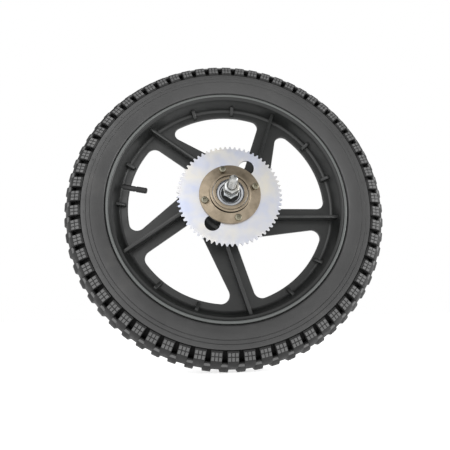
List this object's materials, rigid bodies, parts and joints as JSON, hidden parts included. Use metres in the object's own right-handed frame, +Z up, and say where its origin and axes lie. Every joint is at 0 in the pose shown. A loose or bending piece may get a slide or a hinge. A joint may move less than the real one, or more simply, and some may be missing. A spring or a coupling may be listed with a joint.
{
  "type": "spoked drive wheel",
  "caption": "Knobby tyre on a moulded spoked rim, with a chain sprocket on a freewheel hub and a threaded axle.",
  "frame": {"origin": "the wheel's centre, on the axle's axis, midway between the axle's two ends and in the rim's middle plane", "axes": "+Y along the axle away from the sprocket, +Z up, +X to the right when looking at the sprocket side"},
  "size_m": [0.426, 0.176, 0.426],
  "materials": {
    "moulded_rim": "satin moulded black",
    "tyre": "matt moulded rubber",
    "butyl": "smooth rubber",
    "cap_plastic": "ribbed plastic",
    "brass": "turned",
    "hub_metal": "turned",
    "freewheel_bronze": "brown-grey turned steel",
    "bearing_steel": "ground",
    "seal_rubber": "smooth",
    "zinc_plate": "bright zinc plate",
    "zinc_steel": "bright zinc plate"
  },
  "bodies": {
    "axle": {"axle": "zinc_steel", "spacer_tube": "bearing_steel", "bearing_inner_ring_drive": "bearing_steel", "bearing_inner_ring_plain": "bearing_steel", "cone_spacer_drive": "zinc_steel", "cone_spacer_plain": "zinc_steel", "lock_nut_drive": "zinc_steel", "lock_nut_plain": "zinc_steel", "axle_washer_drive": "zinc_steel", "axle_washer_plain": "zinc_steel", "axle_nut_drive": "zinc_steel", "axle_nut_plain": "zinc_steel"},
    "wheel": {"rim": "moulded_rim", "tyre": "tyre", "inner_tube": "butyl", "valve_stem": "butyl", "valve_core": "brass", "hub_sleeve": "hub_metal", "bearing_outer_ring_drive": "bearing_steel", "bearing_outer_ring_plain": "bearing_steel", "bearing_seal_drive_outer": "seal_rubber", "bearing_seal_drive_inner": "seal_rubber", "bearing_seal_plain_outer": "seal_rubber", "bearing_seal_plain_inner": "seal_rubber", "freewheel_inner_body": "bearing_steel", "freewheel_lock_ring": "freewheel_bronze", "pawl_spring_1": "bearing_steel", "pawl_spring_2": "bearing_steel"},
    "driver": {"freewheel_outer_body": "freewheel_bronze", "sprocket": "zinc_plate", "flange_screw_1": "zinc_steel", "flange_screw_2": "zinc_steel", "flange_screw_3": "zinc_steel", "flange_screw_4": "zinc_steel", "flange_nut_1": "zinc_steel", "flange_nut_2": "zinc_steel", "flange_nut_3": "zinc_steel", "flange_nut_4": "zinc_steel"},
    "balls_drive": {"bearing_balls_drive": "bearing_steel"},
    "balls_plain": {"bearing_balls_plain": "bearing_steel"},
    "freewheel_balls": {"freewheel_balls_front": "bearing_steel", "freewheel_balls_back": "bearing_steel"},
    "pawl_1": {"pawl_1": "bearing_steel"},
    "pawl_2": {"pawl_2": "bearing_steel"},
    "valve_cap": {"valve_cap": "cap_plastic"},
    "valve_pin": {"valve_pin": "brass"}
  },
  "joints": [
    {"name": "wheel_spin", "type": "hinge", "parent": "axle", "child": "wheel", "pos_m": [0, 0, 0], "axis": [0, 1, 0], "continuous": true},
    {"name": "sprocket_freewheel", "type": "hinge", "parent": "wheel", "child": "driver", "pos_m": [0, 0, 0], "axis": [0, 1, 0], "continuous": true},
    {"name": "drive_bearing_roll", "type": "hinge", "parent": "axle", "child": "balls_drive", "pos_m": [0, 0, 0], "axis": [0, 1, 0], "continuous": true},
    {"name": "plain_bearing_roll", "type": "hinge", "parent": "axle", "child": "balls_plain", "pos_m": [0, 0, 0], "axis": [0, 1, 0], "continuous": true},
    {"name": "freewheel_ball_roll", "type": "hinge", "parent": "wheel", "child": "freewheel_balls", "pos_m": [0, 0, 0], "axis": [0, 1, 0], "continuous": true},
    {"name": "pawl_1_swing", "type": "hinge", "parent": "wheel", "child": "pawl_1", "pos_m": [0, -0.037, 0.0202], "axis": [0, 1, 0], "range_deg": [0, 15]},
    {"name": "pawl_2_swing", "type": "hinge", "parent": "wheel", "child": "pawl_2", "pos_m": [0, -0.037, -0.0202], "axis": [0, 1, 0], "range_deg": [0, 15]},
    {"name": "valve_cap_pull", "type": "slide", "parent": "wheel", "child": "valve_cap", "axis": [0.9866, 0, -0.1633], "range_m": [0, 0.014]},
    {"name": "valve_pin_press", "type": "slide", "parent": "wheel", "child": "valve_pin", "axis": [-0.9866, 0, 0.1633], "range_m": [0, 0.0012], "stiffness_N_per_m": 100}
  ],
  "couplings": [
    {"joint": "drive_bearing_roll", "follows": "wheel_spin", "ratio": 0.625},
    {"joint": "plain_bearing_roll", "follows": "wheel_spin", "ratio": 0.625},
    {"joint": "freewheel_ball_roll", "follows": "sprocket_freewheel", "ratio": 0.5}
  ]
}
